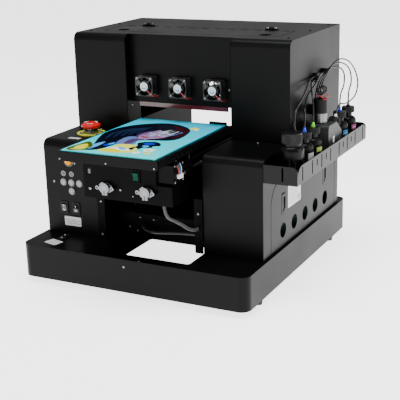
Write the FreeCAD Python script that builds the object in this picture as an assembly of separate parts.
import FreeCAD, Part
import math
import os

# Flatbed UV printer of the A4 class, in millimetres.
# Built about the plinth: X right from its middle plane, Y back from its front, Z up from the floor.
# place() then moves every piece so that the origin is under the middle of the whole machine.

V = FreeCAD.Vector
X_AXIS = V(1, 0, 0)
Y_AXIS = V(0, 1, 0)
Z_AXIS = V(0, 0, 1)

# ---- driving dimensions -------------------------------------------------------------------
plinth_width = 500.0
plinth_depth = 551.0
plinth_top = 80.0
plinth_corner_r = 20.0
foot_height = 12.0
foot_r = 9.0
foot_inset = (12.0, 78.0)
sheet = 1.5
body_inset = 6.0            # side panels stand this far in from the plinth's sides
tower_front = 90.0
tower_top = 277.0
hood_front = 223.0
hood_top = 477.0
hood_rear_inset = 42.0      # hood's back, in from the plinth's back
bend_r = 15.0               # outer radius of the big bends
tunnel_half = 119.0
tunnel_top = 336.0          # lower edge of the fan panel
rear_sill = 190.0           # lower edge of the opening at the back
window_x = (-20.0, 119.0)
window_y = (26.0, 128.0)

fan_size = 40.0
fan_depth = 20.0
fan_pitch = 78.0
fan_z = 372.0
fan_hole_pitch = 32.0
fan_duct_r = 19.0
fan_hub_r = 11.5

bed_half = 107.5
bed_front = -56.5
bed_back = 248.0
bed_top = 299.0
bed_sheet = 2.0
lip_height = 18.0
sample_size = (198.0, 293.0, 2.0)
bed_travel = 300.0
lift_travel = 60.0

rod_r = 5.0
rod_half_pitch = 44.0
rod_z = 218.0
running_gap = 0.05          # radial, of shafts in their bores
free_gap = 0.4              # between bodies that pass each other

frame_front = 10.0          # rail frame: front plate
frame_back = 488.0
frame_left = -95.0
frame_right = 98.0
frame_sheet = 2.0
beam_bottom = 194.0
beam_top = 232.0
plate_top = 268.0
plate_step_x = 65.0         # the front plate's tall part ends here, beside the bed motor

column_x = 84.0
column_ys = (175.0, 425.0)
column_r = 5.0
column_top = 222.0
lead_screw_y = 300.0
lead_screw_r = 4.0

motor_size = 42.0
motor_length = 34.0
pulley_r = 8.0
belt_t = 1.4
belt_w = 6.0

tray_width = 67.0
tray_y = (91.0, 495.0)
tray_z = (235.0, 270.0)
tray_corner_r = 25.0

head_travel = 300.0
head_park_x = 182.0
head_bottom = 308.0

# ---- derived ------------------------------------------------------------------------------
side_x = plinth_width / 2 - body_inset
tray_outer_x = side_x + tray_width
hood_back = plinth_depth - hood_rear_inset
cover_x = side_x - sheet            # outer limit of the covers, against the side panels
wall_in = tunnel_half
wall_out = tunnel_half + sheet
rod_y = (frame_front - 10.0, frame_back + 10.0)
belt_y = (36.0, 478.0)
belt_x = 56.0
belt_z = beam_top + sheet + motor_size / 2
shift = V(-(tray_outer_x - plinth_width / 2) / 2, -(plinth_depth + bed_front) / 2, 0)

os.makedirs("parts", exist_ok=True)


# ---- helpers ------------------------------------------------------------------------------
def box(x0, x1, y0, y1, z0, z1):
    return Part.makeBox(x1 - x0, y1 - y0, z1 - z0, V(x0, y0, z0))


def cyl(radius, base, axis, length):
    return Part.makeCylinder(radius, length, base, axis)


def ring(r_out, r_in, base, axis, length):
    return cyl(r_out, base, axis, length).cut(cyl(r_in, base, axis, length))


def fuse(shapes):
    first = shapes[0]
    return first.multiFuse(shapes[1:]).removeSplitter() if len(shapes) > 1 else first


def cut(shape, tools):
    return shape.cut(Part.makeCompound(tools)).removeSplitter()


def rounded_outline(points, radii):
    """A closed wire through points in one plane, each corner rounded by its radius."""
    count = len(points)
    starts = []
    edges = []
    for i in range(count):
        corner = points[i]
        before = (points[i - 1] - corner).normalize()
        after = (points[(i + 1) % count] - corner).normalize()
        radius = radii[i]
        if radius <= 0:
            starts.append((corner, corner))
            continue
        half = before.getAngle(after) / 2
        reach = radius / math.tan(half)
        centre = corner + (before + after).normalize() * (radius / math.sin(half))
        first = corner + before * reach
        last = corner + after * reach
        middle = centre + (corner - centre).normalize() * radius
        edges.append((i, Part.Arc(first, middle, last).toShape()))
        starts.append((first, last))
    arcs = dict(edges)
    path = []
    for i in range(count):
        if i in arcs:
            path.append(arcs[i])
        here = starts[i][1]
        there = starts[(i + 1) % count][0]
        if (there - here).Length > 1e-6:
            path.append(Part.LineSegment(here, there).toShape())
    return Part.Wire(Part.__sortEdges__(path))


def slab(points, radii, along):
    """A flat plate: the rounded outline, extruded by the vector along."""
    return Part.Face(rounded_outline(points, radii)).extrude(along)


def rounded_box(x0, x1, y0, y1, z0, z1, radius):
    """A box with its four upright edges rounded."""
    corners = [V(x0, y0, z0), V(x1, y0, z0), V(x1, y1, z0), V(x0, y1, z0)]
    return slab(corners, [radius] * 4, V(0, 0, z1 - z0))


def yz_slab(x0, x1, outline, radii):
    return slab([V(x0, y, z) for y, z in outline], radii, V(x1 - x0, 0, 0))


def xz_slab(y0, y1, outline, radii):
    return slab([V(x, y0, z) for x, z in outline], radii, V(0, y1 - y0, 0))


def mirror_x(shape):
    return shape.mirror(V(0, 0, 0), X_AXIS)


def save(name, shapes):
    """Write one node: a single solid, or a group of separate ones."""
    shapes = shapes if isinstance(shapes, list) else [shapes]
    solids = []
    for shape in shapes:
        solids.extend(shape.Solids)
    whole = solids[0] if len(solids) == 1 else Part.makeCompound(solids)
    whole.translate(shift)
    whole.exportStep("parts/" + name + ".step")
    limits = whole.BoundBox
    print("%-20s solids %2d  valid %s  z %.1f..%.1f" % (
        name, len(solids), whole.isValid(), limits.ZMin, limits.ZMax))


# ---- base ---------------------------------------------------------------------------------
def base_plinth():
    half = plinth_width / 2
    outer = rounded_box(-half, half, 0, plinth_depth, foot_height, plinth_top, plinth_corner_r)
    hollow = rounded_box(-half + sheet, half - sheet, sheet, plinth_depth - sheet,
                         foot_height, plinth_top - sheet, plinth_corner_r - sheet)
    flange_w = 30.0
    flange = rounded_box(-half + sheet, half - sheet, sheet, plinth_depth - sheet,
                         foot_height, foot_height + sheet, plinth_corner_r - sheet)
    flange_hole = rounded_box(-half + flange_w, half - flange_w, flange_w, plinth_depth - flange_w,
                              foot_height, foot_height + sheet, 5.0)
    window = rounded_box(window_x[0], window_x[1], window_y[0], window_y[1],
                         plinth_top - 5.0, plinth_top + 1.0, 6.0)
    shaft_hole = cyl(12.0, V(0, lead_screw_y, plinth_top - 5.0), Z_AXIS, 6.0)
    rocker_hole = box(power_rocker_x - 7.0, power_rocker_x + 7.0, power_rocker_y - 14.0,
                      power_rocker_y + 14.0, plinth_top - 5.0, plinth_top + 1.0)
    shell = outer.cut(hollow).fuse(flange.cut(flange_hole))
    return cut(shell, [window, shaft_hole, rocker_hole])


def rubber_feet():
    inset_x, inset_y = foot_inset
    feet = []
    for x in (-plinth_width / 2 + inset_x, plinth_width / 2 - inset_x):
        for y in (inset_y, plinth_depth - inset_y):
            feet.append(Part.makeCone(foot_r - 1.5, foot_r, foot_height, V(x, y, 0)))
    return feet


# ---- shell --------------------------------------------------------------------------------
def side_outline(inset=0.0):
    """Side view of the body: low tower in front, tall hood behind."""
    points = [(tower_front + inset, plinth_top), (tower_front + inset, tower_top - inset),
              (hood_front + inset, tower_top - inset), (hood_front + inset, hood_top - inset),
              (hood_back - inset, hood_top - inset), (hood_back - inset, plinth_top)]
    radii = [0, bend_r - inset, 0, bend_r - inset, 3.0, 0]
    return points, radii


door_y = (128.0, 486.0)
door_z = (plinth_top + 2.0, 219.0)
door_gap = 1.6
vent_hole_r = 15.0
vent_hole_pitch = 59.5
vent_hole_y = 188.0
vent_hole_z = 113.5


def door_outline(grow):
    y0, y1 = door_y
    z0, z1 = door_z
    outline = [(y0 - grow, z0 - grow), (y0 - grow, z1 + grow), (y1 + grow, z1 + grow),
               (y1 + grow, z0 - grow)]
    return outline, [4.0, 45.0, 45.0, 4.0]


def side_panels():
    points, radii = side_outline()
    left = yz_slab(-side_x, -cover_x, points, radii)
    right = yz_slab(cover_x, side_x, points, radii)
    grown, grown_radii = door_outline(door_gap)
    doorway = yz_slab(cover_x - 1, side_x + 1, grown, grown_radii)
    return [left, cut(right, [doorway])]


def access_panel():
    """Screwed door in the right side: round vents and hooked slots, on a backing rim."""
    outline, radii = door_outline(0.0)
    door = yz_slab(cover_x, side_x, outline, radii)
    rim_outline, rim_radii = door_outline(9.0)
    rim_outline = [(y, max(z, plinth_top)) for y, z in rim_outline]
    rim = yz_slab(cover_x - sheet, cover_x, rim_outline, rim_radii)
    inner, inner_radii = door_outline(-9.0)
    rim = rim.cut(yz_slab(cover_x - sheet, cover_x, inner, inner_radii))
    holes = []
    for i in range(5):
        centre = V(cover_x - 1, vent_hole_y + i * vent_hole_pitch, vent_hole_z)
        holes.append(cyl(vent_hole_r, centre, X_AXIS, sheet + 2))
    for y in (181.0, 413.0):
        x0, x1 = cover_x - 1, side_x + 1
        holes.append(box(x0, x1, y - 1.5, y + 1.5, 146.0, 190.0))
        holes.append(box(x0, x1, y, y + 16.0, 187.0, 190.0))
        holes.append(box(x0, x1, y + 9.0, y + 18.0, 156.0, 180.0))
        holes.append(box(x0, x1, y + 7.0, y + 12.0, 150.0, 158.0))
    return [cut(door, holes).fuse(rim).removeSplitter()]


def bent_cover(x0, x1, front, top, back, bottom):
    """Sheet that rises from bottom, bends back at top and runs to back."""
    outer = [(front, bottom), (front, top), (back, top), (back, top - sheet), (front + sheet, top - sheet),
             (front + sheet, bottom)]
    return yz_slab(x0, x1, outer, [0, bend_r, 0, 0, bend_r - sheet, 0])


def tower_covers():
    left = bent_cover(-cover_x, -wall_out, tower_front, tower_top, hood_front + 14.0, plinth_top)
    right = mirror_x(left)
    openings = []
    for x, z, r in key_places:
        openings.append(cyl(r + free_gap, V(x, tower_front - 1, z), Y_AXIS, 4))
    openings.append(cyl(amber_r + 1.2, V(amber_x, tower_front - 1, amber_z), Y_AXIS, 4))
    for x in rocker_xs:
        openings.append(box(x - 7.0, x + 7.0, tower_front - 1, tower_front + 3,
                            rocker_z - 10.5, rocker_z + 10.5))
    openings.append(cyl(estop_stem_r + 3.0, V(estop_x, estop_y, tower_top - 3), Z_AXIS, 4))
    return [cut(left, openings), right]


hatch_half = 200.0
hatch_y = (268.0, 372.0)
lid_gap = 2.0


def hood_cover():
    strip = bent_cover(-cover_x, -wall_out, hood_front, hood_top, hood_back - sheet, tower_top)
    roof = box(-wall_out, wall_out, hood_front + bend_r, hood_back - sheet, hood_top - sheet, hood_top)
    hatch = rounded_box(-hatch_half, hatch_half, hatch_y[0], hatch_y[1], hood_top - sheet, hood_top, 16.0)
    ledge = rounded_box(-hatch_half - 6, hatch_half + 6, hatch_y[0] - 6, hatch_y[1] + 6,
                        hood_top - 2 * sheet, hood_top - sheet, 16.0)
    ledge = ledge.cut(rounded_box(-hatch_half + 8, hatch_half - 8, hatch_y[0] + 8, hatch_y[1] - 10,
                                  hood_top - 2 * sheet, hood_top - sheet, 12.0))
    shell = fuse([strip, mirror_x(strip), roof]).cut(hatch)
    return fuse([shell, ledge])


def top_lid():
    plate = rounded_box(-hatch_half + lid_gap, hatch_half - lid_gap, hatch_y[0] + lid_gap,
                        hatch_y[1] - lid_gap, hood_top - sheet, hood_top, 14.0)
    holes = []
    for x in (-163.0, 163.0):
        holes.append(cyl(12.5, V(x, hatch_y[0] + 26.0, hood_top - 3), Z_AXIS, 6))
    for i in range(13):
        x = (i - 6) * 30.2
        y = hatch_y[1] - 15.0
        holes.append(rounded_box(x - 8.5, x + 8.5, y - 2.5, y + 2.5, hood_top - 3, hood_top + 3, 2.4))
    plate = cut(plate, holes)
    for x in hinge_xs:
        leaf = box(x - 12, x + 12, hatch_y[1] - 9.0, hatch_y[1] - 3.2, hood_top, hinge_z - 0.2)
        tongue = box(x - 5.8, x + 5.8, hatch_y[1] - 3.2, hatch_y[1], hinge_z - 1.6, hinge_z - 0.2)
        knuckle = ring(hinge_r, hinge_pin_r + running_gap, V(x - 5.8, hatch_y[1], hinge_z), X_AXIS, 11.6)
        tongue = tongue.cut(cyl(hinge_r - 0.4, V(x - 6, hatch_y[1], hinge_z), X_AXIS, 12))
        plate = plate.fuse([leaf, tongue, knuckle])
    return plate.removeSplitter()


hinge_xs = (-145.0, 145.0)
hinge_z = hood_top + 3.0
hinge_r = 2.6
hinge_pin_r = 1.2


def lid_hinges():
    leaves = []
    for x in hinge_xs:
        leaf = box(x - 12, x + 12, hatch_y[1] + 0.6, hatch_y[1] + 14.0, hood_top, hood_top + 1.4)
        leaf = leaf.cut(cyl(hinge_r + free_gap, V(x - 6.2, hatch_y[1], hinge_z), X_AXIS, 12.4))
        parts = [leaf, cyl(hinge_pin_r, V(x - 12, hatch_y[1], hinge_z), X_AXIS, 24)]
        for start in (x - 12, x + 6.2):
            web = box(start, start + 5.8, hatch_y[1] + 0.6, hatch_y[1] + 2.6, hood_top, hinge_z)
            parts.append(web)
            parts.append(cyl(hinge_r, V(start, hatch_y[1], hinge_z), X_AXIS, 5.8))
        leaves.append(fuse(parts))
    return leaves


def inner_walls():
    """Tunnel sides: full height beside the fan panel, notched where the head crosses."""
    lift = tunnel_top + 2.0
    points = [(tower_front, plinth_top), (tower_front, tower_top), (hood_front, tower_top),
              (hood_front, hood_top), (hood_front + 24.0, hood_top), (hood_front + 24.0, lift),
              (hood_back - sheet, lift), (hood_back - sheet, plinth_top)]
    radii = [0, bend_r, 0, bend_r, 0, 0, 0, 0]
    wall = yz_slab(wall_in, wall_out, points, radii)
    notch = box(wall_in - 1, wall_out + 1, 275.0, 425.0, 292.0, lift + 1)
    roof_room = box(wall_in - 1, wall_out + 1, hood_front + bend_r, hood_back, hood_top - 2 * sheet, hood_top + 1)
    wall = cut(wall, [notch, roof_room])
    return [wall, mirror_x(wall)]


def rear_panel():
    y0 = hood_back - sheet
    plate = box(-cover_x, cover_x, y0, hood_back, plinth_top, hood_top - sheet)
    opening = box(-tunnel_half, tunnel_half, y0 - 1, hood_back + 1, rear_sill, tunnel_top)
    inlet = box(inlet_x - 14, inlet_x + 14, y0 - 1, hood_back + 1, inlet_z - 10, inlet_z + 10)
    usb = box(usb_x - 6, usb_x + 6, y0 - 1, hood_back + 1, inlet_z - 5.5, inlet_z + 5.5)
    vents = []
    for side in (-1, 1):
        for i in range(8):
            x = side * (150.0 + i * 10.0)
            vents.append(box(x - 2, x + 2, y0 - 1, hood_back + 1, 352.0, 412.0))
    return cut(plate, [opening, inlet, usb] + vents)


def fan_panel():
    y0 = hood_front + fan_depth - 0.5
    plate = box(-wall_in, wall_in, y0, y0 + sheet, tunnel_top, hood_top - sheet)
    flange = box(-wall_in, wall_in, y0, y0 + 14.0, hood_top - 2 * sheet, hood_top - sheet)
    holes = []
    for x in fan_xs:
        holes.append(cyl(fan_duct_r - 0.5, V(x, y0 - 1, fan_z), Y_AXIS, 4))
    return cut(plate.fuse(flange), holes)


fan_xs = (-fan_pitch, 0.0, fan_pitch)


def uv_shield():
    y0 = hood_front + fan_depth - 0.5 + sheet
    return box(-102.0, 102.0, y0, y0 + 3.0, tunnel_top - 9.0, tunnel_top + 10.0)


# ---- fans ---------------------------------------------------------------------------------
fan_mount_r = 9.0
fan_strut_t = 2.5
fan_pin_r = 1.5
hub_cap = 3.5
rotor_depth = 14.5
rotor_front = hood_front - 0.5 + fan_strut_t + 0.7


def fan_frames():
    front = hood_front - 0.5
    half = fan_size / 2
    frames = []
    for x in fan_xs:
        body = xz_slab(front, front + fan_depth, [(x - half, fan_z - half), (x - half, fan_z + half),
                                                  (x + half, fan_z + half), (x + half, fan_z - half)],
                       [3.0] * 4)
        duct = cyl(fan_duct_r, V(x, front - 1, fan_z), Y_AXIS, fan_depth + 2)
        holes = [duct]
        relief = ring(60.0, fan_duct_r + 1.2, V(x, front + 4.0, fan_z), Y_AXIS, fan_depth - 8.0)
        holes.append(relief)
        for dx in (-1, 1):
            for dz in (-1, 1):
                at = V(x + dx * fan_hole_pitch / 2, front - 1, fan_z + dz * fan_hole_pitch / 2)
                holes.append(cyl(1.8, at, Y_AXIS, fan_depth + 2))
        body = cut(body, holes)
        mount = cyl(fan_mount_r, V(x, front, fan_z), Y_AXIS, fan_strut_t)
        pin = cyl(fan_pin_r, V(x, front + 1.0, fan_z), Y_AXIS, rotor_front + rotor_depth - hub_cap - 0.5 - front - 1.0)
        struts = []
        for k in range(4):
            arm = box(x - 1.5, x + 1.5, front, front + fan_strut_t, fan_z, fan_z + fan_duct_r + 0.8)
            arm.rotate(V(x, 0, fan_z), Y_AXIS, 45 + 90 * k)
            struts.append(arm)
        frames.append(fuse([body, mount, pin] + struts))
    return frames


def fan_rotor(x):
    hub = cyl(fan_hub_r, V(x, rotor_front, fan_z), Y_AXIS, rotor_depth)
    bore = cyl(fan_pin_r + running_gap, V(x, rotor_front - 1.0, fan_z), Y_AXIS, rotor_depth - hub_cap + 1.0)
    tip = fan_duct_r - 1.0
    middle = rotor_front + rotor_depth / 2
    reach = rotor_depth / 2 - 1.0
    blades = []
    for k in range(7):
        blade = box(x - 0.6, x + 0.6, middle - reach, middle + reach, fan_z + fan_hub_r - 1.5, fan_z + tip + 2)
        blade.rotate(V(x, middle, fan_z), Z_AXIS, 38)
        blade.rotate(V(x, 0, fan_z), Y_AXIS, 360.0 / 7 * k)
        blades.append(blade)
    sweep = ring(tip, fan_hub_r - 1.5, V(x, rotor_front, fan_z), Y_AXIS, rotor_depth)
    vanes = Part.makeCompound(blades).common(sweep)
    return hub.fuse(vanes.Solids).cut(bore).removeSplitter()


# ---- controls -----------------------------------------------------------------------------
estop_x = -179.0
estop_y = 171.0
estop_stem_r = 8.0
estop_head_r = 20.0
key_r = 6.7
key_places = [(-199.2, 191.0, key_r), (-180.0, 191.0, key_r), (-160.8, 191.0, key_r), (-180.0, 173.0, key_r)]
key_names = ("key_left", "key_centre", "key_right", "key_down")
amber_x = -184.0
amber_z = 236.0
amber_r = 8.0
rocker_xs = (-201.5, -173.0)
rocker_z = 136.5
power_rocker_x = -190.0
power_rocker_y = 62.0
green_x = 22.0
green_z = 246.0
inlet_x = -185.0
inlet_z = 125.0
usb_x = -(wall_out + 24.5)


def estop_base():
    """Round warning plate on the tower's top, with the switch body under it and a collar."""
    plate = ring(30.0, estop_stem_r + 0.6, V(estop_x, estop_y, tower_top), Z_AXIS, 1.6)
    collar = ring(14.0, estop_stem_r + 0.6, V(estop_x, estop_y, tower_top + 1.6), Z_AXIS, 5.0)
    return [plate.fuse(collar).removeSplitter()]


def estop_button():
    base = tower_top + 12.0
    stem = cyl(estop_stem_r, V(estop_x, estop_y, tower_top - 12.0), Z_AXIS, 24.5)
    dome = Part.makeSphere(34.0, V(estop_x, estop_y, base + 13.0 - 34.0))
    cap = cyl(estop_head_r, V(estop_x, estop_y, base), Z_AXIS, 14.0).common(dome)
    edge = Part.makeCone(estop_head_r - 4, estop_head_r, 3.0, V(estop_x, estop_y, base))
    limits = edge.fuse(cyl(estop_head_r, V(estop_x, estop_y, base + 3.0), Z_AXIS, 20.0))
    return fuse([stem, cap.common(limits)])


def key(place):
    x, z, r = place
    cap = cyl(r, V(x, tower_front - 2.6, z), Y_AXIS, 8.0)
    flange = cyl(r + 1.5, V(x, tower_front + sheet + 1.8, z), Y_AXIS, 1.6)
    return fuse([cap, flange])


def amber_button():
    at = V(amber_x, tower_front - 3.0, amber_z)
    stem = cyl(amber_r, at, Y_AXIS, 14.0)
    dome = Part.makeSphere(10.0, V(amber_x, tower_front + 3.5, amber_z))
    dome = dome.common(cyl(amber_r, V(amber_x, tower_front - 8.0, amber_z), Y_AXIS, 8.0))
    return fuse([stem, dome])


def rocker_frame_upright(x, z, front):
    """Switch bezel on an upright panel, with its pocket behind."""
    bezel = xz_slab(front - 2.0, front, [(x - 9.5, z - 13), (x - 9.5, z + 13), (x + 9.5, z + 13), (x + 9.5, z - 13)],
                    [1.5] * 4)
    pocket = box(x - 7.0, x + 7.0, front, front + 14.0, z - 10.5, z + 10.5)
    well = box(x - 5.5, x + 5.5, front - 3.0, front + 11.0, z - 9.3, z + 9.3)
    pins = cyl(0.8, V(x - 7.0, front + 1.0, z), X_AXIS, 14.0)
    return fuse([bezel, pocket]).cut(well).fuse(pins)


def rocker_upright(x, z, front):
    """Rocker that tips about the pin across its middle."""
    profile = [(front + 6.5, z - 7.0), (front - 2.2, z - 8.4), (front - 2.6, z), (front - 4.1, z + 7.6),
               (front + 6.5, z + 7.0)]
    body = yz_slab(x - 5.2, x + 5.2, profile, [1.0, 0.8, 9.0, 0.8, 1.0])
    return body.cut(cyl(0.8 + running_gap, V(x - 6.0, front + 1.0, z), X_AXIS, 12.0))


def power_rocker_frame():
    x, y = power_rocker_x, power_rocker_y
    bezel = rounded_box(x - 9.5, x + 9.5, y - 17.0, y + 17.0, plinth_top, plinth_top + 2.0, 1.5)
    pocket = box(x - 7.0, x + 7.0, y - 14.0, y + 14.0, plinth_top - 14.0, plinth_top)
    well = box(x - 5.5, x + 5.5, y - 12.8, y + 12.8, plinth_top - 11.0, plinth_top + 3.0)
    pin = cyl(0.8, V(x - 7.0, y, plinth_top - 1.0), X_AXIS, 14.0)
    return fuse([bezel, pocket]).cut(well).fuse(pin)


def power_rocker():
    x, y = power_rocker_x, power_rocker_y
    z = plinth_top
    profile = [(y - 9.0, z - 6.5), (y - 12.0, z + 2.2), (y, z + 2.8), (y + 10.8, z + 5.2), (y + 9.0, z - 6.5)]
    body = yz_slab(x - 5.2, x + 5.2, profile, [1.0, 0.8, 12.0, 0.8, 1.0])
    return body.cut(cyl(0.8 + running_gap, V(x - 6.0, y, z - 1.0), X_AXIS, 12.0))


def power_inlet():
    """Mains inlet in the rear panel, with its fuse drawer, and a data socket beside it."""
    y1 = hood_back
    flange = xz_slab(y1, y1 + 2.5, [(inlet_x - 17, inlet_z - 13), (inlet_x - 17, inlet_z + 13),
                                    (inlet_x + 17, inlet_z + 13), (inlet_x + 17, inlet_z - 13)], [2.0] * 4)
    body = box(inlet_x - 14, inlet_x + 14, y1 - 20.0, y1, inlet_z - 10, inlet_z + 10)
    well = box(inlet_x - 12, inlet_x + 12, y1 - 14.0, y1 + 3, inlet_z - 8, inlet_z + 8)
    pins = [box(inlet_x + dx - 1, inlet_x + dx + 1, y1 - 15.0, y1 - 3, inlet_z + dz - 2.5, inlet_z + dz + 2.5)
            for dx, dz in ((-6, -2), (0, 2), (6, -2))]
    usb_shell = box(usb_x - 6, usb_x + 6, y1 - 16.0, y1 + 1.0, inlet_z - 5.5, inlet_z + 5.5)
    usb_well = box(usb_x - 4.3, usb_x + 4.3, y1 - 12.0, y1 + 2.0, inlet_z - 3.9, inlet_z + 3.9)
    return [fuse([fuse([flange, body]).cut(well)] + pins), usb_shell.cut(usb_well)]


# ---- inner frame and lift -----------------------------------------------------------------
frame_plate_x = 101.5
cross_top = beam_bottom - lift_travel - 4.0


def inner_frame():
    """Welded frame inside the tunnel that carries the lift."""
    base_t = 3.0
    y0, y1 = 88.0, 486.0
    leg = box(frame_plate_x, frame_plate_x + sheet, y0, y1, plinth_top, rear_sill)
    flange = box(frame_plate_x, wall_in - 0.2, y0 - 1.0, y0 + sheet - 1.0, plinth_top, rear_sill)
    strap = box(frame_plate_x, wall_in, 470.0, y1, rear_sill - 20.0, rear_sill)
    front_cross = box(-frame_plate_x, frame_plate_x, 130.0, 130.0 + sheet, plinth_top, cross_top)
    rear_cross = box(-frame_plate_x, frame_plate_x, y1 - sheet, y1, plinth_top, cross_top)
    floor = box(-frame_plate_x, frame_plate_x, 130.0, y1, plinth_top, plinth_top + base_t)
    parts = [leg, flange, strap, mirror_x(leg), mirror_x(flange), mirror_x(strap), front_cross, rear_cross, floor]
    frame = fuse(parts)
    holes = [cyl(12.0, V(0, lead_screw_y, plinth_top - 1), Z_AXIS, base_t + 2)]
    for x in (-column_x, column_x):
        for y in column_ys:
            holes.append(cyl(column_r, V(x, y, plinth_top - 1), Z_AXIS, base_t + 2))
        holes.append(cyl(lead_screw_r + running_gap, V(x, lead_screw_y, plinth_top - 1), Z_AXIS, base_t + 2))
    return cut(frame, holes)


def lift_columns():
    columns = []
    for x in (-column_x, column_x):
        for y in column_ys:
            columns.append(cyl(column_r, V(x, y, plinth_top), Z_AXIS, column_top - plinth_top))
    return columns


def lead_screw(x):
    """Threaded shaft with its pulley; it turns in the frame's floor and drives a nut."""
    shaft = cyl(lead_screw_r, V(x, lead_screw_y, plinth_top), Z_AXIS, column_top - plinth_top)
    pulley_z = plinth_top + 3.0 + free_gap
    wheel = fuse([cyl(9.0, V(x, lead_screw_y, pulley_z), Z_AXIS, 10.0),
                  cyl(11.0, V(x, lead_screw_y, pulley_z), Z_AXIS, 1.2),
                  cyl(11.0, V(x, lead_screw_y, pulley_z + 8.8), Z_AXIS, 1.2)])
    return fuse([shaft, wheel])


def rail_frame():
    """The lifted frame, bolted up from a front plate, two side arms and a rear plate."""
    t = frame_sheet
    y0, y1 = frame_front, frame_back
    inner_left, inner_right = frame_left + t, frame_right - t
    plate = xz_slab(y0, y0 + t, [(frame_left, beam_bottom), (frame_left, plate_top), (plate_step_x, plate_top),
                                 (plate_step_x, beam_top), (frame_right, beam_top), (frame_right, beam_bottom)],
                    [0, 4.0, 4.0, 0, 0, 0])
    lower = box(inner_left, inner_right, y0, y0 + 28.0, beam_bottom, beam_bottom + t)
    shelf = box(plate_step_x - t, inner_right, y0, y0 + 52.0, beam_top - t, beam_top)
    mount = box(plate_step_x - t, plate_step_x, y0 + 4.0, y0 + 52.0, beam_top - t, beam_top + sheet + motor_size)
    bores = [cyl(11.5, V(plate_step_x - 3, belt_y[0], belt_z), X_AXIS, 6.0),
             box(green_x - 7.0, green_x + 7.0, y0 - 1, y0 + 3, green_z - 10.5, green_z + 10.5),
             box(-86.0, -77.0, y0 - 1, y0 + 3, green_z - 7.0, green_z + 7.0)]
    rear = box(frame_left, frame_right, y1 - t, y1, beam_bottom, beam_top)
    idler_arm = box(belt_x - 9.0, belt_x - 7.0, y1 - 19.0, y1, beam_top - t, belt_z + 6.0)
    idler_foot = box(belt_x - 9.0, inner_right, y1 - 19.0, y1, beam_top - t, beam_top)
    idler_pin = cyl(2.0, V(belt_x - 7.0, belt_y[1], belt_z), X_AXIS, 12.0)
    idler = cyl(pulley_r, V(belt_x - 4.0, belt_y[1], belt_z), X_AXIS, 8.0)
    rod_holes = []
    for x in (-rod_half_pitch, rod_half_pitch):
        for y in (y0, y1 - t):
            rod_holes.append(cyl(rod_r + 0.5, V(x, y - 1, rod_z), Y_AXIS, t + 2))
    front = cut(fuse([plate, lower, shelf, mount]), bores + rod_holes)
    back = cut(fuse([rear, idler_arm, idler_foot, idler_pin, idler]), rod_holes)
    return [front, back, lift_arm(-1, frame_left, inner_left), lift_arm(1, frame_right, inner_right)]


def lift_arm(side, outer, inner):
    """Side arm with its bushes for the columns and its nut for the lead screw."""
    t = frame_sheet
    x = side * column_x
    x0, x1 = min(x - 10, outer), max(x + 10, outer)
    parts = [box(min(outer, inner), max(outer, inner), frame_front + t, frame_back - t, beam_bottom, beam_top)]
    bores = []
    for y in column_ys:
        parts.append(box(x0, x1, y - 12, y + 12, beam_bottom + 6, beam_bottom + 10))
        parts.append(cyl(8.0, V(x, y, beam_bottom), Z_AXIS, 22.0))
        bores.append(cyl(column_r + running_gap, V(x, y, beam_bottom - 1), Z_AXIS, 30.0))
    parts.append(box(x0, x1, lead_screw_y - 12, lead_screw_y + 12, beam_bottom + 6, beam_bottom + 10))
    parts.append(cyl(8.5, V(x, lead_screw_y, beam_bottom), Z_AXIS, 16.0))
    bores.append(cyl(lead_screw_r + 2 * running_gap, V(x, lead_screw_y, beam_bottom - 1), Z_AXIS, 30.0))
    return cut(fuse(parts), bores)


def guide_rods():
    return [cyl(rod_r, V(x, rod_y[0], rod_z), Y_AXIS, rod_y[1] - rod_y[0])
            for x in (-rod_half_pitch, rod_half_pitch)]


def shaft_clamp(x, y, out):
    """Flanged clamp: split ring on a two-eared flange, gripping a rod's end."""
    flange = Part.Face(rounded_outline([V(x - 21.5, y, rod_z), V(x - 7, y, rod_z + 10.5), V(x + 7, y, rod_z + 10.5),
                                        V(x + 21.5, y, rod_z), V(x + 7, y, rod_z - 10.5),
                                        V(x - 7, y, rod_z - 10.5)], [5.0, 6.0, 6.0, 5.0, 6.0, 6.0]))
    body = flange.extrude(V(0, out * 5.0, 0))
    hub = cyl(10.5, V(x, y, rod_z), V(0, out, 0), 10.0)
    ear = box(x - 4.5, x + 4.5, min(y, y + out * 10.0), max(y, y + out * 10.0), rod_z - 13.5, rod_z - 7.0)
    holes = [cyl(rod_r, V(x, y - 12, rod_z), Y_AXIS, 24.0),
             box(x - 0.7, x + 0.7, y - 12, y + 12, rod_z - 15, rod_z)]
    for dx in (-16.0, 16.0):
        holes.append(cyl(2.75, V(x + dx, y - 12, rod_z), Y_AXIS, 24.0))
    holes.append(cyl(1.6, V(x - 6, y + out * 7.5, rod_z - 11.0), X_AXIS, 12.0))
    return cut(fuse([body, hub, ear]), holes)


def shaft_clamps():
    clamps = []
    for x in (-rod_half_pitch, rod_half_pitch):
        clamps.append(shaft_clamp(x, frame_front, -1))
        clamps.append(shaft_clamp(x, frame_back, 1))
    return clamps


def stepper(x0, x1, y, z, axis):
    """Square stepper motor with chamfered corners; its shaft is a separate piece."""
    half = motor_size / 2
    length = x1 - x0
    c = 4.0
    outline = [(-half + c, -half), (half - c, -half), (half, -half + c), (half, half - c), (half - c, half),
               (-half + c, half), (-half, half - c), (-half, -half + c)]
    if axis == "x":
        points = [V(x0, y + a, z + b) for a, b in outline]
        return Part.Face(Part.makePolygon(points + [points[0]])).extrude(V(length, 0, 0))
    points = [V(y + a, z + b, x0) for a, b in outline]
    return Part.Face(Part.makePolygon(points + [points[0]])).extrude(V(0, 0, length))


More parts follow.
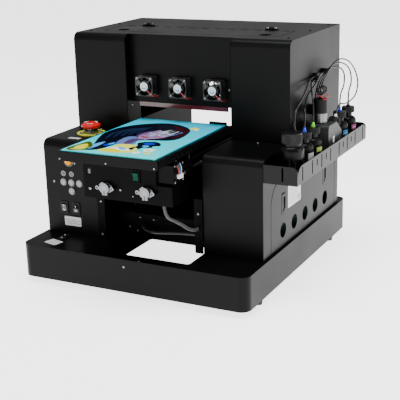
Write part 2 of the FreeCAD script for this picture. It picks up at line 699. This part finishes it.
def y_motor():
    x0 = plate_step_x
    body = stepper(x0, x0 + motor_length, belt_y[0], belt_z, "x")
    boss = cyl(11.0, V(x0 - 2.0, belt_y[0], belt_z), X_AXIS, 2.5)
    bore = cyl(2.5 + running_gap, V(x0 - 3.0, belt_y[0], belt_z), X_AXIS, 24.0)
    socket = box(x0 + motor_length, x0 + motor_length + 5.0, belt_y[0] - 8.0, belt_y[0] + 8.0, belt_z - 10.0, belt_z - 2.0)
    return fuse([body, boss, socket]).cut(bore)


def y_pulley():
    x0 = belt_x - 4.0
    wheel = fuse([cyl(pulley_r, V(x0, belt_y[0], belt_z), X_AXIS, 8.0),
                  cyl(pulley_r + 2.5, V(x0 - 1.2, belt_y[0], belt_z), X_AXIS, 1.2),
                  cyl(pulley_r + 2.5, V(x0 + 8.0, belt_y[0], belt_z), X_AXIS, 1.0),
                  cyl(2.5, V(x0, belt_y[0], belt_z), X_AXIS, 30.0)])
    return wheel


def y_belt():
    inner = pulley_r + free_gap
    outer = inner + belt_t
    x0 = belt_x - belt_w / 2

    def loop(radius):
        top = [V(x0, belt_y[0], belt_z + radius), V(x0, belt_y[1], belt_z + radius)]
        low = [V(x0, belt_y[1], belt_z - radius), V(x0, belt_y[0], belt_z - radius)]
        edges = [Part.LineSegment(top[0], top[1]).toShape(),
                 Part.Arc(top[1], V(x0, belt_y[1] + radius, belt_z), low[0]).toShape(),
                 Part.LineSegment(low[0], low[1]).toShape(),
                 Part.Arc(low[1], V(x0, belt_y[0] - radius, belt_z), top[0]).toShape()]
        return Part.Face(Part.Wire(edges)).extrude(V(belt_w, 0, 0))

    return loop(outer).cut(loop(inner))


def drive_motors():
    """Lift motor hung under the plinth's top, and the head's motor at the rail's left end."""
    lift = stepper(plinth_top - sheet - 42.0, plinth_top - sheet, 0.0, lead_screw_y, "z")
    shaft = cyl(2.5, V(0, lead_screw_y, plinth_top - sheet), Z_AXIS, 16.0)
    wheel = cyl(7.0, V(0, lead_screw_y, plinth_top + 3.5), Z_AXIS, 10.0)
    head = stepper(rail_z - 20.0 - 38.0, rail_z - 20.0, -205.0, rail_y + 42.0, "z")
    arm = box(-225.0, -185.0, rail_y + 20.0, rail_y + 62.0, rail_z - 20.0, rail_z - 17.0)
    head = fuse([head, arm])
    return [fuse([lift, shaft, wheel]), head]


# ---- bed ----------------------------------------------------------------------------------
def bed_plate():
    t = bed_sheet
    lip_bottom = bed_top - lip_height
    plate = box(-bed_half, bed_half, bed_front, bed_back, bed_top - t, bed_top)
    lip = xz_slab(bed_front, bed_front + t, [(-bed_half + 3, lip_bottom), (-bed_half, lip_bottom + 4),
                                             (-bed_half, bed_top - 4), (-bed_half + 3, bed_top),
                                             (bed_half - 3, bed_top), (bed_half, bed_top - 4),
                                             (bed_half, lip_bottom + 4), (bed_half - 3, lip_bottom)], [0] * 8)
    corner_cuts = [yz_slab(-bed_half - 1, bed_half + 1, [(bed_front - 1, bed_top - 1.2), (bed_front - 1, bed_top + 1),
                                                        (bed_front + 1.2, bed_top + 1)], [0] * 3)]
    for side in (-1, 1):
        edge = side * bed_half
        wedge = slab([V(edge - side * 3, bed_front - 1, bed_top + 1), V(edge + side, bed_front - 1, bed_top + 1),
                      V(edge + side, bed_front - 1, bed_top - 4)], [0] * 3, V(0, t + 1.5, 0))
        corner_cuts.append(wedge)
    returned = box(-bed_half + 3, bed_half - 3, bed_front, bed_front + 12.0, lip_bottom, lip_bottom + 1.5)
    rear = box(-bed_half, bed_half, bed_back - t, bed_back, bed_top - 12.0, bed_top)
    skirts = []
    for x0, x1 in ((-bed_half, -bed_half + t), (bed_half - t, bed_half)):
        skirts.append(box(x0, x1, bed_front + 6.0, bed_back, bed_top - 15.0, bed_top))
    slots = []
    for i in range(5):
        y = -2.0 + i * 16.0
        slots.append(box(bed_half - t - 1, bed_half + 1, y, y + 8.0, bed_top - 12.0, bed_top - 8.5))
    return cut(fuse([plate, lip, returned, rear] + skirts), slots + corner_cuts)


def print_sample():
    w, length, t = sample_size
    y0 = bed_front + 4.5
    return box(-w / 2, w / 2, y0, y0 + length, bed_top, bed_top + t)


block_ys = (58.0, 148.0)
block_size = (37.0, 35.0, 26.0)


def bed_riser():
    """Folded carriage: a base on the bearing blocks and two upright channels under the bed."""
    w, length, h = block_size
    z0 = rod_z + h / 2
    z1 = bed_top - bed_sheet
    y0 = block_ys[0] - length / 2 - 2
    y1 = block_ys[1] + length / 2 + 2
    base = box(-62.0, 60.0, y0, y1, z0, z0 + 4.0)
    parts = [base]
    for x0, x1 in ((-60.0, -30.0), (6.0, 38.0)):
        wall = box(x0, x1, y0 + 4, y1 - 4, z0 + 4.0, z1)
        parts.append(wall.cut(box(x0 + 3, x1 - 3, y0, y1, z0 + 4.0, z1 - 3.0)))
    grip = box(38.0, belt_x + belt_w / 2, 96.0, 112.0, z0 + 4.0, belt_z - pulley_r - belt_t - 2.0)
    return fuse(parts + [grip])


def slide_bearings():
    w, length, h = block_size
    blocks = []
    for x in (-rod_half_pitch, rod_half_pitch):
        for y in block_ys:
            block = box(x - w / 2, x + w / 2, y - length / 2, y + length / 2, rod_z - h / 2, rod_z + h / 2)
            for side in (-1, 1):
                edge = x + side * w / 2
                block = block.cut(box(min(edge, edge - side * 7), max(edge, edge - side * 7), y - length, y + length,
                                      rod_z - h / 2 - 1, rod_z + h / 2 - 7.0))
            bore = cyl(rod_r + running_gap, V(x, y - length, rod_z), Y_AXIS, 2 * length)
            blocks.append(block.cut(bore))
    return blocks


# ---- print head ---------------------------------------------------------------------------
rail_y = 404.0
rail_z = 400.0


def x_rail():
    """Steel channel across the hood with a slide rail on its front, on two end brackets."""
    half = 232.0
    beam = box(-half, half, rail_y, rail_y + 20.0, rail_z - 20.0, rail_z + 20.0)
    beam = beam.cut(box(-half - 1, half + 1, rail_y + 3.0, rail_y + 21.0, rail_z - 17.0, rail_z + 17.0))
    rail = box(-half + 6, half - 6, rail_y - 9.0, rail_y, rail_z - 6.0, rail_z + 6.0)
    ends = []
    for side in (-1, 1):
        edge = side * half
        foot = box(min(edge, side * cover_x), max(edge, side * cover_x), rail_y, rail_y + 30.0, rail_z - 26.0, rail_z + 26.0)
        ends.append(foot)
    return fuse([beam, rail] + ends)


def print_carriage():
    x, y1 = head_park_x, rail_y - free_gap
    half = 38.0
    slider = box(x - 24.0, x + 24.0, rail_y - 17.0, y1 - 1.0, rail_z - 14.0, rail_z + 14.0)
    slot = box(x - 30.0, x + 30.0, rail_y - 9.0 - free_gap, rail_y + 1, rail_z - 6.4, rail_z + 6.4)
    back = box(x - half, x + half, rail_y - 20.0, rail_y - 17.0, head_bottom + 34.0, rail_z + 22.0)
    floor = box(x - half, x + half, rail_y - 102.0, rail_y - 17.0, head_bottom + 34.0, head_bottom + 38.0)
    cheeks = []
    for x0, x1 in ((x - half, x - half + 3.0), (x + half - 3.0, x + half)):
        cheeks.append(yz_slab(x0, x1, [(rail_y - 102.0, head_bottom + 34.0), (rail_y - 102.0, head_bottom + 70.0),
                                       (rail_y - 60.0, rail_z + 22.0), (rail_y - 17.0, rail_z + 22.0),
                                       (rail_y - 17.0, head_bottom + 34.0)], [0, 6.0, 6.0, 0, 0]))
    return fuse([slider.cut(slot), back, floor] + cheeks)


def print_head():
    x = head_park_x
    y0, y1 = rail_y - 96.0, rail_y - 30.0
    body = box(x - 28.0, x + 28.0, y0, y1, head_bottom + 6.0, head_bottom + 34.0)
    nose = box(x - 18.0, x + 18.0, y0 + 10.0, y1 - 14.0, head_bottom, head_bottom + 6.0)
    dampers = box(x - 28.0, x + 28.0, y0 + 4.0, y1, head_bottom + 38.0, head_bottom + 60.0)
    return [fuse([body, nose]), dampers]


def uv_lamp():
    x1 = head_park_x - 38.0
    y0, y1 = rail_y - 96.0, rail_y - 30.0
    block = box(x1 - 24.0, x1, y0, y1, head_bottom + 8.0, head_bottom + 44.0)
    fins = [box(x1 - 25.0, x1 - 1.0, y0 + 3.0 + i * 8.0, y0 + 7.0 + i * 8.0, head_bottom + 28.0, head_bottom + 45.0)
            for i in range(8)]
    return cut(block, [box(x1 - 25.0, x1 - 3.0, f.BoundBox.YMin, f.BoundBox.YMax, head_bottom + 28.0,
                           head_bottom + 45.0) for f in fins])


def electronics():
    """Mains power supply in the left tower and the control board in the right one."""
    supply_x = -(wall_out + 11.5)
    supply = box(-228.0, supply_x, 300.0, 480.0, plinth_top, plinth_top + 48.0)
    vents = [box(-229.0, supply_x + 1.0, 312.0 + i * 12.0, 317.0 + i * 12.0,
                 plinth_top + 44.0, plinth_top + 49.0) for i in range(12)]
    board = box(222.0, 224.0, 160.0, 430.0, plinth_top, plinth_top + 110.0)
    chips = [box(210.0, 222.0, y, y + 24.0, plinth_top + 50.0, plinth_top + 80.0) for y in (190.0, 260.0, 330.0)]
    return [cut(supply, vents), fuse([board] + chips)]


# ---- ink supply ---------------------------------------------------------------------------
bottle_x = tray_outer_x - tray_width / 2
bottle_z = tray_z[0] + sheet
# place along the tray, body radius, body height, shoulder height, neck radius, cap radius, cap height
wide_bottle = (148.0, 23.0, 48.0, 12.0, 17.0, 19.0, 24.0)
small_bottle = (17.5, 40.0, 11.0, 8.5, 13.0, 12.0)
small_neck_h = 8.0
small_ys = (213.0, 260.0, 417.0, 472.0)
wide_fitting_y = 160.0
jerry_y = (288.0, 367.0)
jerry_x = (bottle_x - 18.0, bottle_x + 22.0)
jerry_top = 304.0
jerry_shoulder = (32.0, 23.0)
spout_x = bottle_x + 9.5


def bottle_tray():
    x0, x1 = side_x, tray_outer_x
    y0, y1 = tray_y
    z0, z1 = tray_z
    floor = box(x0, x1, y0, y1, z0, z0 + sheet)
    front = xz_slab(y0, y0 + sheet, [(x0, z0), (x0, z1), (x1, z1), (x1, z0)], [0, 0, 10.0, 0])
    back = xz_slab(y1 - sheet, y1, [(x0, z0), (x0, z1), (x1, z1), (x1, z0)], [0, 0, 10.0, 0])
    outer = yz_slab(x1 - sheet, x1, [(y0, z0), (y0, z1), (y1, z1), (y1, z0)], [0, tray_corner_r, tray_corner_r, 0])
    hanger = box(x0, x0 + sheet, y0, y1, z0, z1 - 8.0)
    slots = []
    for i in range(8):
        y = 117.0 + i * 50.6
        slots.append(box(x1 - 3, x1 + 1, y - 2.2, y + 2.2, z0 + 5.0, z1 - 4.0))
    for i in (1, 2, 4, 5):
        y = 117.0 + (i + 0.5) * 50.6
        slots.append(box(x1 - 3, x1 + 1, y - 2.2, y + 2.2, z0 + 15.0, z1 - 8.0))
    slots.append(box(x0 + 36.0, x0 + 39.5, y0 - 1, y0 + 3, z0 + 6.0, z1 - 3.0))
    return cut(fuse([floor, front, back, outer, hanger]), slots)


def round_bottle(y, r, body_h, shoulder_h, neck_r, neck_h):
    """Turned bottle with a rounded shoulder."""
    z = bottle_z
    foot = 3.0
    rim = z + body_h
    top = rim + shoulder_h
    edges = [Part.LineSegment(V(0, 0, z), V(r - foot, 0, z)).toShape(),
             Part.Arc(V(r - foot, 0, z), V(r - foot * 0.293, 0, z + foot * 0.293), V(r, 0, z + foot)).toShape(),
             Part.LineSegment(V(r, 0, z + foot), V(r, 0, rim)).toShape()]
    bulge = V((r + neck_r) / 2 + (r - neck_r) * 0.2, 0, rim + shoulder_h * 0.7)
    edges.append(Part.Arc(V(r, 0, rim), bulge, V(neck_r, 0, top)).toShape())
    edges.append(Part.LineSegment(V(neck_r, 0, top), V(neck_r, 0, top + neck_h)).toShape())
    edges.append(Part.LineSegment(V(neck_r, 0, top + neck_h), V(0, 0, top + neck_h)).toShape())
    edges.append(Part.LineSegment(V(0, 0, top + neck_h), V(0, 0, z)).toShape())
    solid = Part.Face(Part.Wire(edges)).revolve(V(0, 0, 0), Z_AXIS, 360)
    solid.translate(V(bottle_x, y, 0))
    return solid


def small_cap_z():
    return bottle_z + small_bottle[1] + small_bottle[2] + small_neck_h


def ink_bottles():
    y, r, body_h, shoulder_h, neck_r = wide_bottle[:5]
    bottles = [round_bottle(y, r, body_h, shoulder_h, neck_r, 4.0)]
    r, body_h, shoulder_h, neck_r = small_bottle[:4]
    for y in small_ys:
        bottles.append(round_bottle(y, r, body_h, shoulder_h, neck_r, small_neck_h))
    return bottles


def spout_axis():
    """Square to the jerry's sloping shoulder: up and back."""
    back, down = jerry_shoulder
    return V(0, down, back).normalize()


def spout_point(height):
    """The point on the spout's axis at a height above the sloping shoulder."""
    back, down = jerry_shoulder
    middle = V(spout_x, jerry_y[1] - back / 2, jerry_top - down / 2)
    return middle + spout_axis() * height


def jerry_bottle():
    y0, y1 = jerry_y
    x0, x1 = jerry_x
    back, down = jerry_shoulder
    outline = [(y0, bottle_z), (y0, jerry_top), (y1 - back, jerry_top), (y1, jerry_top - down), (y1, bottle_z)]
    body = yz_slab(x0, x1, outline, [4.0, 6.0, 5.0, 5.0, 4.0])
    necks = [cyl(13.0, V(bottle_x - 4.0, 312.0, jerry_top), Z_AXIS, 3.0),
             cyl(9.0, spout_point(-2.0), spout_axis(), 4.0)]
    return fuse([body] + necks)


def fitting(x, y, z):
    """Barbed hose fitting on a cap."""
    return [cyl(4.0, V(x, y, z), Z_AXIS, 3.0), cyl(2.6, V(x, y, z + 3.0), Z_AXIS, 6.0)]


def bottle_caps():
    caps = []
    y, r, body_h, shoulder_h, neck_r, cap_r, cap_h = wide_bottle
    z = bottle_z + body_h + shoulder_h + 4.0
    lid = cyl(cap_r, V(bottle_x, y, z), Z_AXIS, cap_h - 4.0)
    caps.append(fuse([lid] + fitting(bottle_x, wide_fitting_y, z + cap_h - 4.0)))
    cap_r, cap_h = small_bottle[4:]
    z = small_cap_z()
    for y in small_ys:
        caps.append(fuse([cyl(cap_r, V(bottle_x, y, z), Z_AXIS, cap_h)] + fitting(bottle_x, y, z + cap_h)))
    caps.append(cyl(11.5, spout_point(2.0), spout_axis(), 13.0))
    caps.append(fuse([cyl(4.5, spout_point(15.0), spout_axis(), 4.0),
                      cyl(2.6, spout_point(19.0), spout_axis(), 5.0)]))
    return caps


def stir_motor():
    """Stirrer for the white ink: a metal can on the jerry's front neck, a motor in a black cap."""
    x, y, z = bottle_x - 4.0, 312.0, jerry_top + 3.0
    can = cyl(13.5, V(x, y, z), Z_AXIS, 18.0)
    motor = cyl(14.5, V(x, y, z + 18.0), Z_AXIS, 28.0)
    boss = cyl(4.0, V(x, y, z + 46.0), Z_AXIS, 3.0)
    return [can, fuse([motor, boss])]


# tubes leave the side panel from three blocks: the low one upward, the others forward
low_block = (side_x + 8.0, 338.0, 334.0)
low_pitch = 4.4
front_block = (side_x + 4.5, 350.0, 387.0)
front_gap = 7.5
rear_block = (side_x + 6.0, 400.0, 392.0)


def tube_blocks():
    x, y, z = low_block
    low = box(side_x, x + 2 * low_pitch + 4.0, y - 8.0, y + 8.0, z - 18.0, z)
    x, y, z = front_block
    front = box(side_x, x + 2.6, y, y + 7.0, z - 9.0, z + 9.0)
    x, y, z = rear_block
    rear = box(side_x, x + 4.0, y, y + 12.0, z - 5.0, z + 5.0)
    return [low, front, rear]


# ---- tubes and cable ----------------------------------------------------------------------
tube_d = 3.2
sleeve_d = 7.0


def cord(points, diameter, name):
    """Round tube along straight runs joined by tangent arcs, as large as the runs allow."""
    points = [V(*p) for p in points]
    edges = []
    start = points[0]
    radii = []
    length = 0.0
    for i in range(1, len(points) - 1):
        corner = points[i]
        back = points[i - 1] - corner
        ahead = points[i + 1] - corner
        reach = 0.45 * min(back.Length, ahead.Length)
        half_turn = (math.pi - back.getAngle(ahead)) / 2
        radius = reach / math.tan(half_turn)
        radii.append(radius)
        into = V(back).normalize()
        out = V(ahead).normalize()
        first = corner + into * reach
        last = corner + out * reach
        centre = corner + (into + out).normalize() * math.hypot(radius, reach)
        middle = centre + (corner - centre).normalize() * radius
        edges.append(Part.LineSegment(start, first).toShape())
        edges.append(Part.Arc(first, middle, last).toShape())
        length += (first - start).Length + radius * 2 * half_turn
        start = last
    edges.append(Part.LineSegment(start, points[-1]).toShape())
    length += (points[-1] - start).Length
    path = Part.Wire(edges)
    direction = (points[1] - points[0]).normalize()
    section = Part.Wire(Part.Circle(points[0], direction, diameter / 2).toShape())
    tube = path.makePipeShell([section], True, False)
    ratio = tube.Volume / (math.pi * diameter * diameter / 4 * length)
    print("%-20s length %.0f  smallest radius %.1f  volume ratio %.4f" % (name, length, min(radii), ratio))
    return tube


def low_start(index):
    """A tube's first two points, straight up out of the low block."""
    x, y, z = low_block
    x += index * low_pitch
    return [(x, y, z), (x, y, z + 26.0)]


wide_top = bottle_z + wide_bottle[2] + wide_bottle[3] + wide_bottle[6] + 9.0
small_top = small_cap_z() + small_bottle[5] + 9.0
spout_height = 24.0


def forward_start(block, dz, run):
    """A tube's first two points, straight forward out of a block."""
    x, y, z = block
    return [(x, y, z + dz), (x, y - run, z + dz)]


def down_end(y, top, run):
    return [(bottle_x, y, top + run), (bottle_x, y, top)]


def routed(points):
    """Points given from the right side panel outward, as places in the machine."""
    return [(side_x + x, y, z) for x, y, z in points]


def spout_end(run):
    """A tube's last two points, square down onto the jerry's sloping spout."""
    return [tuple(spout_point(spout_height + run)), tuple(spout_point(spout_height))]


tubes = [
    forward_start(front_block, front_gap / 2, 34.0)
    + routed([(18.0, 266.0, 383.0), (28.0, 214.0, 370.0)]) + down_end(wide_fitting_y, wide_top, 28.0),
    forward_start(rear_block, 0.0, 30.0)
    + routed([(14.0, 322.0, 378.0), (16.0, 266.0, 364.0)]) + down_end(small_ys[0], small_top, 30.0),
    forward_start(front_block, -front_gap / 2, 27.0)
    + routed([(18.0, 290.0, 374.0)]) + down_end(small_ys[1], small_top, 36.0),
    low_start(0)
    + routed([(13.0, 362.0, 392.0), (19.0, 408.0, 404.0), (29.0, 455.0, 390.0), (33.5, 446.0, 358.0)])
    + down_end(small_ys[2], small_top, 27.0),
    low_start(1)
    + routed([(17.4, 362.0, 393.0), (23.4, 410.0, 410.0), (28.0, 455.0, 403.0), (32.0, 488.0, 384.0),
              (33.5, 493.0, 354.0)])
    + down_end(small_ys[3], small_top, 25.0),
    low_start(2)
    + routed([(21.8, 362.0, 394.0), (27.5, 410.0, 417.0), (33.0, 458.0, 411.0), (35.0, 503.0, 387.0),
              (37.0, 530.0, 352.0), (40.0, 505.0, 327.0), (43.0, 462.0, 323.0), (44.5, 420.0, 323.0)])
    + spout_end(25.0),
]
cable_run = [(73.0, 22.0, beam_bottom), (73.0, 22.0, beam_bottom - 24.0), (88.0, 44.0, 155.0),
             (108.0, 68.0, 130.0), (108.0, 87.0, 130.0)]

# ---- write every piece --------------------------------------------------------------------
save("base_plinth", base_plinth())
save("rubber_feet", rubber_feet())
save("side_panels", side_panels() + access_panel())
save("tower_covers", tower_covers())
save("hood_cover", hood_cover())
save("top_lid", top_lid())
save("lid_hinges", lid_hinges())
save("inner_walls", inner_walls())
save("rear_panel", rear_panel())
save("fan_panel", fan_panel())
save("uv_shield", uv_shield())
save("fan_frames", fan_frames())
for side_name, fan_x in zip(("left", "centre", "right"), fan_xs):
    save("fan_rotor_" + side_name, fan_rotor(fan_x))
save("estop_base", estop_base())
save("estop_button", estop_button())
for name, place in zip(key_names, key_places):
    save(name, key(place))
save("amber_button", amber_button())
sockets = [rocker_frame_upright(x, rocker_z, tower_front) for x in rocker_xs]
sockets.append(power_rocker_frame())
save("panel_sockets", sockets + power_inlet())
save("rocker_left", rocker_upright(rocker_xs[0], rocker_z, tower_front))
save("rocker_right", rocker_upright(rocker_xs[1], rocker_z, tower_front))
save("power_rocker", power_rocker())
save("inner_frame", inner_frame())
save("lift_columns", lift_columns())
save("lead_screw_left", lead_screw(-column_x))
save("lead_screw_right", lead_screw(column_x))
save("rail_frame", rail_frame() + [rocker_frame_upright(green_x, green_z, frame_front)])
save("guide_rods", guide_rods())
save("shaft_clamps", shaft_clamps())
save("y_motor", y_motor())
save("y_pulley", y_pulley())
save("y_belt", y_belt())
save("green_rocker", rocker_upright(green_x, green_z, frame_front))
save("drive_motors", drive_motors())
save("bed_plate", bed_plate())
save("print_sample", print_sample())
save("bed_riser", bed_riser())
save("slide_bearings", slide_bearings())
save("x_rail", x_rail())
save("print_carriage", print_carriage())
save("print_head", print_head())
save("uv_lamp", uv_lamp())
save("electronics", electronics())
save("bottle_tray", bottle_tray())
save("ink_bottles", ink_bottles())
save("jerry_bottle", jerry_bottle())
save("bottle_caps", bottle_caps())
save("stir_motor", stir_motor())
save("tube_blocks", tube_blocks())
for number, points in enumerate(tubes, 1):
    name = "ink_tube_%d" % number
    save(name, cord(points, tube_d, name))
save("lift_cable", cord(cable_run, sleeve_d, "lift_cable"))
